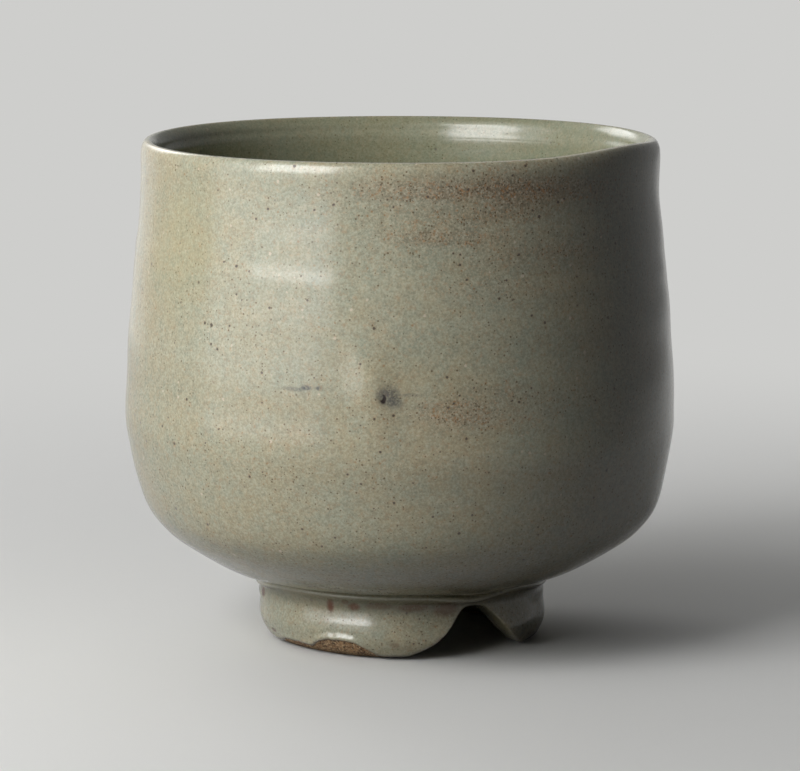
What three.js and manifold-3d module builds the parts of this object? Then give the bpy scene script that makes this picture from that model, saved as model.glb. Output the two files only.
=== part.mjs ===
// A half-cylinder tea bowl in stoneware with a celadon glaze, standing on a split foot.
// Two fired clay pieces (the thrown bowl and the foot ring luted under it) carry three coats of glaze.
// Millimetres, +Z up, -Y to the front. The origin is on the bowl's axis, in the plane it stands on.
import * as THREE from "three";
import { mergeVertices } from "three/addons/utils/BufferGeometryUtils.js";
import Module from "manifold-3d";

const wasm = await Module();
wasm.setup();

// Outside of the bowl
const bowlHeight = 105; // lip's crest above the table
const bellyRadius = 57.5; // widest ring
const bellyHeight = 50;
const mouthRadius = 54.1; // straight neck under the lip
const neckHeight = 93; // where the wall turns upright
const hipRadius = 54.2; // where the wall rises out of the underside
const hipHeight = 30;
const undersideRadius = 37.6; // halfway down the underside's cone
const undersideHeight = 15.9;

// Wall, floor and lip
const lipThickness = 2.8;
const lipRise = 2.5; // height of the rounded lip above the neck
const neckWall = 4.4;
const bellyWall = 5;
const hipWall = 6.8;
const floorHeight = 18.2; // inside floor above the table
const dishDepth = 4.4; // how far the floor rises towards the wall
const poolRadius = 15; // shallow hollow where the last of the tea gathers
const poolDepth = 0.9;

// Foot
const collarRadius = 30.6; // thin collar at the foot's top edge
const collarHeight = 12.9;
const footRadius = 30.2;
const footBottomRadius = 25.9;
const footHeel = 2.6; // rounding between the foot's side and its bottom
const standingChamfer = 0.6; // inner edge of the standing ring
const footWaist = 1; // shallow hollow under the collar, at the front
const collarBevel = 1.1;
const grooveRise = 1.5; // the groove between collar and bowl, above the collar
const rimOverGroove = 31.6; // edge of the underside over the groove
const wellRadius = 21.4; // hollow inside the foot, at its ceiling
const wellMouthRadius = 23.4; // and at the table
const wellHeight = 11.4;
const notchHeight = 11.1;
const notchRound = 1.1; // softens the top of the cut
const notchAzimuth = 30; // degrees to the right of the front, one straight cut across both sides
const notchLeftWidth = 6.5;
const notchLeftPower = 1.45;
const notchRightWidth = 9.1;
const notchRightPower = 2.2;
const notchReach = 18; // half the width of the whole cut

// Glaze
const glazeThickness = 0.6;
const glazeGap = 0.3; // clearance kept between a coat and the clay, and between neighbouring pieces
const glazeLine = 1.3; // bare clay below this height
const overlapDepth = 3; // the outside coat's edge inside the lip, below its rounding

// Hand-thrown unevenness
const lipWave = 0.12;
const lipPeak = 1.2; // the lip's one high place, at the front right
const lipPeakAzimuth = 59;
const lipPeakSpread = 20;
const ovality = 0.25;
const ovalityTurn = 1.2; // radians
const ringDepth = 0.07; // throwing rings on the wall
const ringPitch = 15;
const undersideSway = 0.6; // how far the underside stands out to the right
const undersideSwayReach = 11; // how far above and below its middle height
const footWander = 0.8; // how far the foot's bottom is pressed in at its front left
const footWanderAzimuth = -32;
const footWanderSpread = 32;
const footLean = 0.65; // how far the foot's bottom leans to the right
const footLeanAzimuth = 78;
const collarRise = 0.3; // how far the collar's line climbs at the front
const collarDroop = 1.3; // and how far it sinks at the sides and behind
const collarDip = 1.1; // where the cut has pulled the collar down
const collarDipAzimuth = 29;
const collarDipSpread = 13;
const collarReach = 3; // how far above and below the collar its uneven line reaches
const waistReach = 2.2; // the same for the hollow under it

// How fine the facets are
const turnSteps = 44;
const wallSteps = 20;
const lipSteps = 6;
const insideSteps = 9;
const footSteps = 5;
const notchSteps = 14;

const clayDepth = glazeThickness + glazeGap; // from the glaze's surface to the clay
const seatInset = 2.6 * clayDepth; // from the foot's side to the edge of the joint that the bowl sits on
const degrees = Math.PI / 180;
const point = (r, z) => new THREE.Vector2(r, z);
const { smoothstep } = THREE.MathUtils;

const stoneware = new THREE.MeshStandardMaterial({ color: 0x6e4a36, roughness: 0.9, metalness: 0 });
const celadon = new THREE.MeshStandardMaterial({ color: 0x9a9d83, roughness: 0.3, metalness: 0 });
const celadonInside = new THREE.MeshStandardMaterial({ color: 0x8f9a7f, roughness: 0.3, metalness: 0 });

// Each outline runs so that the clay is on its left: up the outside, over the lip and down the inside.
function outsideOutline() {
  const underside = point(undersideRadius, undersideHeight);
  const hip = point(hipRadius, hipHeight);
  const belly = point(bellyRadius, bellyHeight);
  const neck = point(mouthRadius, neckHeight);
  const onWay = (from, to, outward, upward) =>
    point(from.x + (to.x - from.x) * outward, from.y + (to.y - from.y) * upward);
  return new THREE.SplineCurve([
    point(footRadius + glazeGap, collarHeight + grooveRise + glazeGap),
    point(rimOverGroove, collarHeight + grooveRise),
    underside,
    onWay(underside, hip, 0.5, 0.34),
    onWay(underside, hip, 0.79, 0.61),
    hip,
    onWay(hip, belly, 0.83, 0.6),
    belly,
    onWay(belly, neck, 0.28, 0.42),
    onWay(belly, neck, 0.7, 0.76),
    neck,
    point(mouthRadius, bowlHeight - lipRise),
  ]).getSpacedPoints(wallSteps);
}

// The lip's rounding, at a depth under the glaze's surface.
function lipOutline(depth) {
  const lip = new THREE.EllipseCurve(
    mouthRadius - lipThickness / 2,
    bowlHeight - lipRise,
    lipThickness / 2 - depth,
    lipRise - depth,
    0,
    Math.PI,
  );
  return lip.getPoints(lipSteps).slice(1, -1);
}

function insideOutline() {
  return new THREE.SplineCurve([
    point(mouthRadius - lipThickness, bowlHeight - lipRise),
    point(mouthRadius - neckWall, neckHeight),
    point(bellyRadius - bellyWall, bellyHeight),
    point(hipRadius - hipWall, hipHeight + hipWall / 3),
    point(undersideRadius, floorHeight + dishDepth),
    point((undersideRadius + poolRadius) / 2, floorHeight + dishDepth / 6),
    point(poolRadius, floorHeight),
    point(poolRadius / 2, floorHeight - poolDepth * 0.8),
    point(0, floorHeight - poolDepth),
  ]).getSpacedPoints(insideSteps);
}

// The foot's outside, from the table up to its collar.
function footOutline() {
  const bulge = new THREE.CubicBezierCurve(
    point(footBottomRadius, 0),
    point(footBottomRadius + footHeel, 0.4),
    point(footRadius, footHeel),
    point(footRadius, collarHeight * 0.55),
  ).getPoints(footSteps);
  return [
    ...bulge,
    point(footRadius - footWaist, collarHeight - 2 * collarBevel),
    point(collarRadius, collarHeight),
    point(collarRadius - collarBevel, collarHeight + collarBevel),
  ];
}

// Moves an outline sideways by a distance, into the clay.
function inset(outline, distance) {
  return outline.map((here, i) => {
    const before = outline[Math.max(0, i - 1)];
    const after = outline[Math.min(outline.length - 1, i + 1)];
    const along = after.clone().sub(before).normalize();
    return point(Math.max(0, here.x - along.y * distance), here.y + along.x * distance);
  });
}

// Turns a closed outline about the bowl's axis.
function turned(outline) {
  const closed = outline[0].x === 0 && outline.at(-1).x === 0 ? outline : [...outline, outline[0].clone()];
  return new THREE.LatheGeometry(closed, turnSteps).rotateX(Math.PI / 2);
}

function solidFrom(geometry) {
  const bare = geometry.clone();
  bare.deleteAttribute("normal");
  bare.deleteAttribute("uv");
  const merged = mergeVertices(bare, 1e-3);
  return new wasm.Manifold(
    new wasm.Mesh({
      numProp: 3,
      vertProperties: merged.attributes.position.array,
      triVerts: new Uint32Array(merged.index.array),
    }),
  );
}

function geometryFrom(solid) {
  const mesh = solid.getMesh();
  const geometry = new THREE.BufferGeometry();
  geometry.setAttribute("position", new THREE.BufferAttribute(new Float32Array(mesh.vertProperties), 3));
  geometry.setIndex(new THREE.BufferAttribute(new Uint32Array(mesh.triVerts), 1));
  return geometry;
}

// How high the cut's roof is at a distance from its middle line, as a share of its height.
function bell(across) {
  const width = across < 0 ? notchLeftWidth : notchRightWidth;
  const power = across < 0 ? notchLeftPower : notchRightPower;
  const rounded = (distance) => (Math.hypot(distance, notchRound) - notchRound) / width;
  return Math.exp(-Math.pow(rounded(across), power)) - Math.exp(-Math.pow(rounded(notchReach), power));
}

// The split in the foot: one straight cut with a bell-shaped section, right across it. In the clay it is
// taken back by a distance to leave room for the glaze, down to the bare edge, where the sections meet.
function notchCutter(distance) {
  const section = [];
  for (let i = 0; i <= notchSteps; i++) {
    const across = notchReach * Math.sin((i / notchSteps - 0.5) * Math.PI);
    section.push(point(across, notchHeight * bell(across)));
  }
  const outline = section.map((here, i) => {
    const before = section[Math.max(i - 1, 0)];
    const after = section[Math.min(i + 1, notchSteps)];
    const along = after.clone().sub(before).normalize();
    const taken = distance * smoothstep(here.y, 0, 2 * glazeLine);
    return point(here.x - along.y * taken, here.y + along.x * taken);
  });
  outline.push(point(notchReach, -notchHeight), point(-notchReach, -notchHeight));
  const length = 3 * collarRadius;
  const cutter = new THREE.ExtrudeGeometry(new THREE.Shape(outline), { depth: length, bevelEnabled: false });
  cutter.translate(0, 0, -length / 2);
  cutter.rotateX(Math.PI / 2);
  cutter.rotateZ(notchAzimuth * degrees);
  return solidFrom(cutter);
}

// A rounded rise at one place round the bowl, with its centre and spread in degrees.
function bump(turn, centre, spread) {
  return Math.exp(-Math.pow((turn / degrees - centre) / spread, 2));
}

// 1 at the front third of the foot and 0 at its sides and behind.
function atFront(turn) {
  return smoothstep(Math.cos(turn), 0.1, 0.7);
}

// How far a place moves away from the axis: throwing rings, an oval mouth, a fuller right side, a foot that
// leans, and the hollow under the collar, which fades out at the sides.
function outwardShift(turn, z) {
  const spiral = Math.cos((2 * Math.PI * z) / ringPitch + turn);
  const rings = ringDepth * spiral * smoothstep(z, hipHeight, bellyHeight);
  const oval = ovality * Math.cos(2 * turn - ovalityTurn) * smoothstep(z, hipHeight, bowlHeight);
  const middle = (undersideHeight + hipHeight) / 2;
  const sway = undersideSway * Math.sin(turn) * Math.exp(-Math.pow((z - middle) / undersideSwayReach, 2));
  const lean = footLean * Math.cos(turn - footLeanAzimuth * degrees);
  const pressed = footWander * bump(turn, footWanderAzimuth, footWanderSpread);
  const offWaist = (z - collarHeight + 2.5 * collarBevel) / waistReach;
  const filled = 0.9 * footWaist * (1 - atFront(turn)) * Math.exp(-offWaist * offWaist);
  return rings + oval + sway + filled + (lean - pressed) * (1 - smoothstep(z, 0, collarHeight));
}

// How far a place moves up: the lip's waves and high place, and the collar's line, pulled down by the cut.
function upwardShift(turn, radius, z) {
  const lip = lipPeak * bump(turn, lipPeakAzimuth, lipPeakSpread) + lipWave * Math.cos(3 * turn);
  const dip = collarDip * bump(turn, collarDipAzimuth, collarDipSpread);
  const line = (collarRise + collarDroop) * atFront(turn) - collarDroop - dip;
  const nearCollar = Math.exp(-Math.pow((z - collarHeight - grooveRise / 2) / collarReach, 2));
  const offJoint = smoothstep(radius, footRadius - seatInset, footRadius);
  const offWall = 1 - smoothstep(radius, collarRadius, undersideRadius);
  return lip * Math.pow(smoothstep(z, hipHeight, bowlHeight), 3) + line * nearCollar * offJoint * offWall;
}

// The unevenness of hand throwing. Every piece gets the same displacement, so their clearances stay.
function handThrown(geometry) {
  const places = geometry.attributes.position;
  for (let i = 0; i < places.count; i++) {
    const [x, y, z] = [places.getX(i), places.getY(i), places.getZ(i)];
    const radius = Math.max(Math.hypot(x, y), glazeGap);
    const turn = Math.atan2(x, -y);
    const offAxis = smoothstep(radius, wellRadius / 2, footBottomRadius);
    const grow = 1 + (outwardShift(turn, z) * offAxis) / radius;
    places.setXYZ(i, x * grow, y * grow, z + upwardShift(turn, radius, z));
  }
  geometry.computeVertexNormals();
  return geometry;
}

// The thrown bowl: its outline is the visible one, taken in by the glaze on both sides, over a flat base.
function thrownBowl() {
  const outside = inset(outsideOutline(), clayDepth);
  const inside = inset(insideOutline(), clayDepth);
  inside.at(-1).x = 0;
  const base = wellHeight + clayDepth;
  const seat = footRadius - seatInset;
  const neck = point(seat + glazeGap, outside[0].y);
  return turned([point(0, base), point(seat, base), neck, ...outside, ...lipOutline(clayDepth), ...inside]);
}

// The part of the inside above or below a height.
function insideBeyond(height, above) {
  const inside = insideOutline();
  const share = (inside[0].y - height) / (inside[0].y - inside[1].y);
  const edge = inside[0].clone().lerp(inside[1], share);
  return above ? [inside[0], edge] : [edge, ...inside.slice(1)];
}

// The outside coat: up the wall, over the lip and a little way down inside it.
function outerGlaze() {
  const outside = outsideOutline();
  const inside = insideBeyond(bowlHeight - lipRise - overlapDepth, true);
  const face = [...outside, ...lipOutline(0), ...inside];
  const back = [
    ...inset(outside, glazeThickness),
    ...lipOutline(glazeThickness),
    ...inset(inside, glazeThickness),
  ];
  return turned([...face, ...back.reverse()]);
}

// The liner coat: from the outside coat's edge down to the floor.
function linerGlaze() {
  const face = insideBeyond(bowlHeight - lipRise - overlapDepth - glazeGap, false);
  const back = inset(face, glazeThickness);
  face.at(-1).x = 0;
  back.at(-1).x = 0;
  return turned([...back.reverse(), ...face]);
}

function footRing() {
  const outside = inset(footOutline(), clayDepth).filter((p) => p.y > glazeLine / 2 && p.y < wellHeight);
  const top = wellHeight + clayDepth - glazeGap;
  const ring = turned([
    point(wellRadius + clayDepth, top),
    point(wellMouthRadius + clayDepth, standingChamfer),
    point(wellMouthRadius + standingChamfer, 0),
    point(footBottomRadius, 0),
    ...outside,
    point(footRadius - seatInset, top),
  ]);
  return geometryFrom(solidFrom(ring).subtract(notchCutter(clayDepth)));
}

// The foot's coat: outside, through the notches and over the whole hollow, but not on the standing edge.
function footGlaze() {
  const outside = footOutline().filter((p) => p.y > glazeLine);
  const top = outside.at(-1).y;
  const full = turned([
    point(0, wellHeight),
    point(wellRadius - collarBevel, wellHeight),
    point(wellRadius, wellHeight - collarBevel),
    point(wellMouthRadius, glazeLine),
    point(outside[0].x - glazeGap, glazeLine),
    ...outside,
    point(0, top),
  ]);
  const wall = inset(footOutline(), glazeThickness).filter((p) => p.y < top - 1);
  const ceiling = wellHeight + glazeThickness;
  const core = turned([
    point(0, ceiling),
    point(wellRadius + glazeThickness, ceiling),
    point(wellMouthRadius + glazeThickness, glazeLine),
    point(wellMouthRadius + glazeThickness, -1),
    point(wall[0].x, -1),
    ...wall,
    point(wall.at(-1).x, top + 1),
    point(0, top + 1),
  ]);
  const coat = solidFrom(full).subtract(notchCutter(0));
  return geometryFrom(coat.subtract(solidFrom(core).subtract(notchCutter(glazeThickness))));
}

const teaBowl = new THREE.Group();
for (const [name, geometry, material] of [
  ["thrown_bowl", thrownBowl(), stoneware],
  ["foot_ring", footRing(), stoneware],
  ["outer_glaze", outerGlaze(), celadon],
  ["liner_glaze", linerGlaze(), celadonInside],
  ["foot_glaze", footGlaze(), celadon],
]) {
  const piece = new THREE.Mesh(handThrown(geometry), material);
  piece.name = name;
  teaBowl.add(piece);
}

export default teaBowl;
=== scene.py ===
# %% [markdown]
# # A celadon tea bowl
#
# The bowl is two pieces of brown stoneware, a thrown bowl and a split foot ring, under three coats of
# celadon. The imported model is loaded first. Its solids give the sizes, and every fine surface below lies on
# one of them. The thrown bowl itself stays as it was packed, since the coats hide it. The other four are
# made again, finer.

# %% Load the frame
import math

import bpy
import numpy as np
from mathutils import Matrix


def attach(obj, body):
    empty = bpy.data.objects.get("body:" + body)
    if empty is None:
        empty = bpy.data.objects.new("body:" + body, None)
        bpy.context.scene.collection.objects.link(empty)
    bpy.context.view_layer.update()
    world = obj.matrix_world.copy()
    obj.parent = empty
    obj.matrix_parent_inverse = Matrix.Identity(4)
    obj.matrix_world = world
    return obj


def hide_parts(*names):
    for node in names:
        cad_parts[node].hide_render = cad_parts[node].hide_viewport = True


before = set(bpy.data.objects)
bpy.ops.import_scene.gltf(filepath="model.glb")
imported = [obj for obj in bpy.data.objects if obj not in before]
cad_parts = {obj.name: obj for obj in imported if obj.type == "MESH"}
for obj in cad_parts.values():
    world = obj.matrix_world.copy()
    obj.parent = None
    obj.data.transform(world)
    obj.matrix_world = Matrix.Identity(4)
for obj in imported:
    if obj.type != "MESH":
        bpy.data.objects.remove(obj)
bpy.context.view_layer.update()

# %% [markdown]
# ## Sizes
#
# All sizes are in millimetres and follow the solids: heights are above the table, and radii are from the
# axis. A turn is an angle round the axis, from the front towards the viewer's right.

# %% Sizes of the bowl
METRES = 0.001  # one millimetre

BOWL_HEIGHT = 105
MOUTH_RADIUS = 54.1
NECK_HEIGHT = 93
BELLY_RADIUS = 57.5
BELLY_HEIGHT = 50
HIP_RADIUS = 54.2
HIP_HEIGHT = 30
UNDERSIDE_RADIUS = 37.6
UNDERSIDE_HEIGHT = 15.9
LIP_THICKNESS = 2.8
LIP_RISE = 2.5
NECK_WALL = 4.4
BELLY_WALL = 5
HIP_WALL = 6.8
FLOOR_HEIGHT = 18.2
DISH_DEPTH = 4.4
POOL_RADIUS = 15
POOL_DEPTH = 0.9
OVERLAP_DEPTH = 3  # how far below its rounding the outside coat ends inside the lip
COAT = 0.6  # thickness of the glaze
print("the bowl is", 2 * BELLY_RADIUS, "mm across and", BOWL_HEIGHT, "mm high")

# %% Sizes of the foot
COLLAR_RADIUS = 30.6
COLLAR_HEIGHT = 12.9
COLLAR_BEVEL = 1.1
GROOVE_RISE = 1.5
RIM_OVER_GROOVE = 31.6
FOOT_RADIUS = 30.2
FOOT_BOTTOM_RADIUS = 25.9
FOOT_HEEL = 2.6
FOOT_WAIST = 1
JOINT_INSET = 2.34  # from the foot's side to the edge of its joint with the bowl
WELL_RADIUS = 21.4  # the hollow inside the foot, at its ceiling
WELL_MOUTH_RADIUS = 23.4  # and at the table
WELL_HEIGHT = 11.4
NOTCH_HEIGHT = 11.1
NOTCH_ROUND = 1.1
NOTCH_TURN = math.radians(30)
NOTCH_LEFT_WIDTH = 6.5
NOTCH_LEFT_POWER = 1.45
NOTCH_RIGHT_WIDTH = 9.1
NOTCH_RIGHT_POWER = 2.2
NOTCH_REACH = 18
print("the foot is", 2 * FOOT_RADIUS, "mm across, and its cut is", NOTCH_HEIGHT, "mm high")

# %% Sizes of the hand-thrown unevenness, with azimuths and spreads in degrees
LIP_WAVE = 0.12
LIP_PEAK, LIP_PEAK_AZIMUTH, LIP_PEAK_SPREAD = 1.2, 59, 20
OVALITY, OVALITY_TURN = 0.25, 1.2
RING_DEPTH, RING_PITCH = 0.07, 15
UNDERSIDE_SWAY, UNDERSIDE_SWAY_REACH = 0.6, 11
FOOT_WANDER, FOOT_WANDER_AZIMUTH, FOOT_WANDER_SPREAD = 0.8, -32, 32
FOOT_LEAN, FOOT_LEAN_AZIMUTH = 0.65, 78
WAIST_FILL, WAIST_REACH = 1.2, 2.2  # the share of the foot's waist that is filled at its sides and behind
COLLAR_RISE, COLLAR_DROOP = 0.3, 1.3
COLLAR_DIP, COLLAR_DIP_AZIMUTH, COLLAR_DIP_SPREAD = 1.1, 29, 13
COLLAR_REACH = 3
print("the lip's high place is", LIP_PEAK_AZIMUTH, "degrees to the right of the front")

# %% [markdown]
# ## Curves
#
# A potter's profile is a smooth curve through a few places. It could be drawn with Bezier handles, but each
# handle would have to be guessed. A Catmull-Rom curve passes through every place by itself, so measured
# radii and heights are all that it needs.


# %% Curve helpers
def smoothstep(value, low, high):
    """0 below low and 1 above high, with 3t squared minus 2t cubed between them."""
    t = np.clip((value - low) / (high - low), 0, 1)
    return t * t * (3 - 2 * t)


def bell(value, centre, width):
    """exp of minus the square of the distance from the centre, counted in widths."""
    return np.exp(-(((value - centre) / width) ** 2))


def between(low, high, share):
    return low + (high - low) * share


def even(line, count):
    """The same line with count points at equal distances along it."""
    step = np.hypot(*np.diff(line, axis=0).T)
    along = np.concatenate([[0], np.cumsum(step)])
    places = np.linspace(0, along[-1], count)
    return np.stack([np.interp(places, along, line[:, k]) for k in (0, 1)], axis=1)


def through(points, count):
    """A Catmull-Rom curve: cubic pieces. The slope at a point is half of the step between its neighbours."""
    p = np.array(points, float)
    padded = np.vstack([p[:1], p, p[-1:]])
    t = np.linspace(0, 1, 40, endpoint=False)[None, :, None]
    a, b, c, d = (padded[k : len(p) - 1 + k][:, None, :] for k in range(4))
    slope_b, slope_c = (c - a) / 2, (d - b) / 2
    cubic = (2 * b - 2 * c + slope_b + slope_c) * t**3 + (3 * c - 3 * b - 2 * slope_b - slope_c) * t**2
    pieces = (cubic + slope_b * t + b).reshape(-1, 2)
    return even(np.vstack([pieces, p[-1:]]), count)


def moved_in(line, distance):
    """The line moved to its left: each point goes along the normal of the step between its neighbours."""
    along = np.gradient(line, axis=0)
    along /= np.hypot(along[:, 0], along[:, 1])[:, None]
    moved = line + distance * np.stack([-along[:, 1], along[:, 0]], axis=1)
    moved[:, 0] = np.maximum(moved[:, 0], 0)
    return moved


print("a bell at one width is", round(float(bell(1, 0, 1)), 3))

# %% [markdown]
# ## Profiles
#
# The same places as in the solids. The outside starts in the groove over the foot, and every profile keeps
# the clay on its left: up the outside, over the lip, down the inside. Spinning a drawn outline would give a
# perfect form, so the profiles stay lines of numbers here, and the next step bends them as it turns them.


# %% Profile functions
def outside_profile(count):
    """From the groove over the foot, up the underside, hip and belly to the upright neck."""
    underside = np.array((UNDERSIDE_RADIUS, UNDERSIDE_HEIGHT))
    hip = np.array((HIP_RADIUS, HIP_HEIGHT))
    belly = np.array((BELLY_RADIUS, BELLY_HEIGHT))
    neck = np.array((MOUTH_RADIUS, NECK_HEIGHT))
    groove_top = COLLAR_HEIGHT + GROOVE_RISE  # the groove between the foot's collar and the bowl
    return through(
        [
            (FOOT_RADIUS - 1.2, groove_top + 0.5),
            (FOOT_RADIUS + 0.3, groove_top + 0.3),
            (RIM_OVER_GROOVE, groove_top),
            underside,
            between(underside, hip, np.array((0.5, 0.34))),
            between(underside, hip, np.array((0.79, 0.61))),
            hip,
            between(hip, belly, np.array((0.83, 0.6))),
            belly,
            between(belly, neck, np.array((0.28, 0.42))),
            between(belly, neck, np.array((0.7, 0.76))),
            neck,
            (MOUTH_RADIUS, BOWL_HEIGHT - LIP_RISE),
        ],
        count,
    )


def lip_profile(count):
    """Half an ellipse from the outside to the inside of the lip."""
    angle = np.linspace(0, math.pi, count)
    radius = MOUTH_RADIUS - LIP_THICKNESS / 2 * (1 - np.cos(angle))
    return np.stack([radius, BOWL_HEIGHT - LIP_RISE * (1 - np.sin(angle))], axis=1)


def inside_profile(count):
    """From the lip down the inside of the wall and across the floor to the axis."""
    return through(
        [
            (MOUTH_RADIUS - LIP_THICKNESS, BOWL_HEIGHT - LIP_RISE),
            (MOUTH_RADIUS - NECK_WALL, NECK_HEIGHT),
            (BELLY_RADIUS - BELLY_WALL, BELLY_HEIGHT),
            (HIP_RADIUS - HIP_WALL, HIP_HEIGHT + HIP_WALL / 3),
            (UNDERSIDE_RADIUS, FLOOR_HEIGHT + DISH_DEPTH),
            ((UNDERSIDE_RADIUS + POOL_RADIUS) / 2, FLOOR_HEIGHT + DISH_DEPTH / 6),
            (POOL_RADIUS, FLOOR_HEIGHT),
            (POOL_RADIUS / 2, FLOOR_HEIGHT - POOL_DEPTH * 0.8),
            (0, FLOOR_HEIGHT - POOL_DEPTH),
        ],
        count,
    )


profile_steps = np.diff(outside_profile(200), axis=0)
print("outside profile is", round(float(np.hypot(*profile_steps.T).sum()), 1), "mm long")

# %% [markdown]
# ## The hand of the potter
#
# A thrown wall is never a perfect turned form. The first functions repeat the solids' own unevenness, so
# the fine surfaces stay on them. The last adds softer waves, as a sum of cosines with whole counts round
# the bowl.


# %% Unevenness
def at_front(turn):
    """1 at the front third of the foot and 0 at its sides and behind: a smooth step in the turn's cosine."""
    return smoothstep(np.cos(turn), 0.1, 0.7)


def outward_shift(turn, height):
    """Throwing rings, an oval mouth, a fuller right side, and a foot that leans and is full at its sides.

    Each one is a cosine or a bell in the turn, and fades out with another bell or step in height.
    """
    degrees = np.degrees(turn)
    spiral = np.cos(2 * math.pi * height / RING_PITCH + turn)
    rings = RING_DEPTH * spiral * smoothstep(height, HIP_HEIGHT, BELLY_HEIGHT)
    oval = OVALITY * np.cos(2 * turn - OVALITY_TURN) * smoothstep(height, HIP_HEIGHT, BOWL_HEIGHT)
    middle = (UNDERSIDE_HEIGHT + HIP_HEIGHT) / 2
    sway = UNDERSIDE_SWAY * np.sin(turn) * bell(height, middle, UNDERSIDE_SWAY_REACH)
    lean = FOOT_LEAN * np.cos(turn - math.radians(FOOT_LEAN_AZIMUTH))
    pressed = FOOT_WANDER * bell(degrees, FOOT_WANDER_AZIMUTH, FOOT_WANDER_SPREAD)
    near_waist = bell(height, COLLAR_HEIGHT - 2.5 * COLLAR_BEVEL, WAIST_REACH)
    filled = WAIST_FILL * FOOT_WAIST * (1 - at_front(turn)) * near_waist
    return rings + oval + sway + filled + (lean - pressed) * (1 - smoothstep(height, 0, COLLAR_HEIGHT))


def upward_shift(turn, radius, height):
    """The lip's wave and high place, and the collar's line, low at the sides and over the cut."""
    degrees = np.degrees(turn)
    lip = LIP_PEAK * bell(degrees, LIP_PEAK_AZIMUTH, LIP_PEAK_SPREAD) + LIP_WAVE * np.cos(3 * turn)
    dip = COLLAR_DIP * bell(degrees, COLLAR_DIP_AZIMUTH, COLLAR_DIP_SPREAD)
    line = (COLLAR_RISE + COLLAR_DROOP) * at_front(turn) - COLLAR_DROOP - dip
    near_collar = bell(height, COLLAR_HEIGHT + GROOVE_RISE / 2, COLLAR_REACH)
    off_joint = smoothstep(radius, FOOT_RADIUS - JOINT_INSET, FOOT_RADIUS)
    off_wall = 1 - smoothstep(radius, COLLAR_RADIUS, UNDERSIDE_RADIUS)
    return lip * smoothstep(height, HIP_HEIGHT, BOWL_HEIGHT) ** 3 + line * near_collar * off_joint * off_wall


def hand_thrown(radius, height, turn):
    """Places from radius, height and turn. Both shifts are added, and the first fades towards the axis."""
    grown = radius + outward_shift(turn, height) * smoothstep(radius, WELL_RADIUS / 2, FOOT_BOTTOM_RADIUS)
    raised = height + upward_shift(turn, radius, height)
    return np.stack([grown * np.sin(turn), -grown * np.cos(turn), raised], axis=-1)


def undulation(turn, height, waves, longest, seed):
    """A sum of cosine waves in turn and height, with whole counts round the bowl and random phases."""
    chance = np.random.default_rng(seed)
    total = np.zeros(np.broadcast(turn, height).shape)
    for _ in range(waves):
        around = chance.integers(0, 9)
        upward = chance.uniform(0.4, 3) / longest
        phase = chance.uniform(0, 2 * math.pi)
        slant = chance.choice([-1, 1])
        total += np.cos(around * turn + 2 * math.pi * upward * slant * height + phase) / (1 + 0.4 * around)
    return total / math.sqrt(waves)


# %% Steps round the bowl
TURNS, FOOT_TURNS = 320, 400
FINEST_TURN = math.radians(-3)  # the steps are closest here, where the front has its small fold
CROWDING = 0.45  # how much closer they are there, where 1 would make them touch


def steps_round(count):
    """Turns that crowd at one place: u minus the crowding times the sine of u's distance from it."""
    steps = np.linspace(-math.pi, math.pi, count, endpoint=False)
    return steps - CROWDING * np.sin(steps - FINEST_TURN)


turn = steps_round(TURNS)
foot_turn = np.linspace(-math.pi, math.pi, FOOT_TURNS, endpoint=False)
turn_steps = np.degrees(np.diff(turn))
print("steps of", round(float(turn_steps.min()), 2), "to", round(float(turn_steps.max()), 2), "degrees")

# %% [markdown]
# ## From arrays to meshes
#
# Each piece is a grid of places, one row for each step along its profile and one column for each step round
# the axis. The columns always join up. The rows close on themselves too, or end in one vertex on the axis,
# so a piece has no open edge. Modifiers could close and thicken a sheet, but a grid leaves the thickness to
# the formulas.


# %% Mesh helpers
def grid_normals(places):
    """Unit normals of a grid that closes round the axis: the cross product of its two slopes."""
    padded = np.concatenate([places[:, -1:], places, places[:, :1]], axis=1)
    around = (padded[:, 2:] - padded[:, :-2]) / 2
    along = np.gradient(places, axis=0)
    normal = np.cross(around, along)
    length = np.linalg.norm(normal, axis=-1, keepdims=True)
    return normal / np.maximum(length, 1e-9)


def closed_piece(name, places, poles=()):
    """A closed mesh from a grid of places in millimetres. With no poles the last row joins the first."""
    rows, columns = places.shape[:2]
    index = np.arange(rows * columns).reshape(rows, columns)
    following = np.roll(index, -1, axis=1)
    if poles:
        low, high = index[:-1], index[1:]
        low_next, high_next = following[:-1], following[1:]
    else:
        low, high = index, np.roll(index, -1, axis=0)
        low_next, high_next = following, np.roll(following, -1, axis=0)
    faces = np.stack([low, low_next, high_next, high], axis=-1).reshape(-1, 4).tolist()
    vertices = places.reshape(-1, 3)
    if poles:
        first, last = rows * columns, rows * columns + 1
        vertices = np.vstack([vertices, np.array(poles, float)])
        faces += np.stack([np.full(columns, first), following[0], index[0]], axis=-1).tolist()
        faces += np.stack([index[-1], following[-1], np.full(columns, last)], axis=-1).tolist()
    mesh = bpy.data.meshes.new(name)
    mesh.from_pydata((vertices * METRES).tolist(), [], faces)
    mesh.shade_smooth()
    piece = bpy.data.objects.new(name, mesh)
    bpy.context.scene.collection.objects.link(piece)
    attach(piece, "root")
    print(name, len(mesh.vertices), "vertices,", len(mesh.polygons), "faces")
    return piece


def painted(piece, name, values):
    """Keeps one number for each vertex as an attribute that a material can read. Poles get 0."""
    attribute = piece.data.attributes.new(name, "FLOAT", "POINT")
    numbers = np.zeros(len(piece.data.vertices), np.float32)
    numbers[: values.size] = values.ravel()
    attribute.data.foreach_set("value", numbers)


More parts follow.
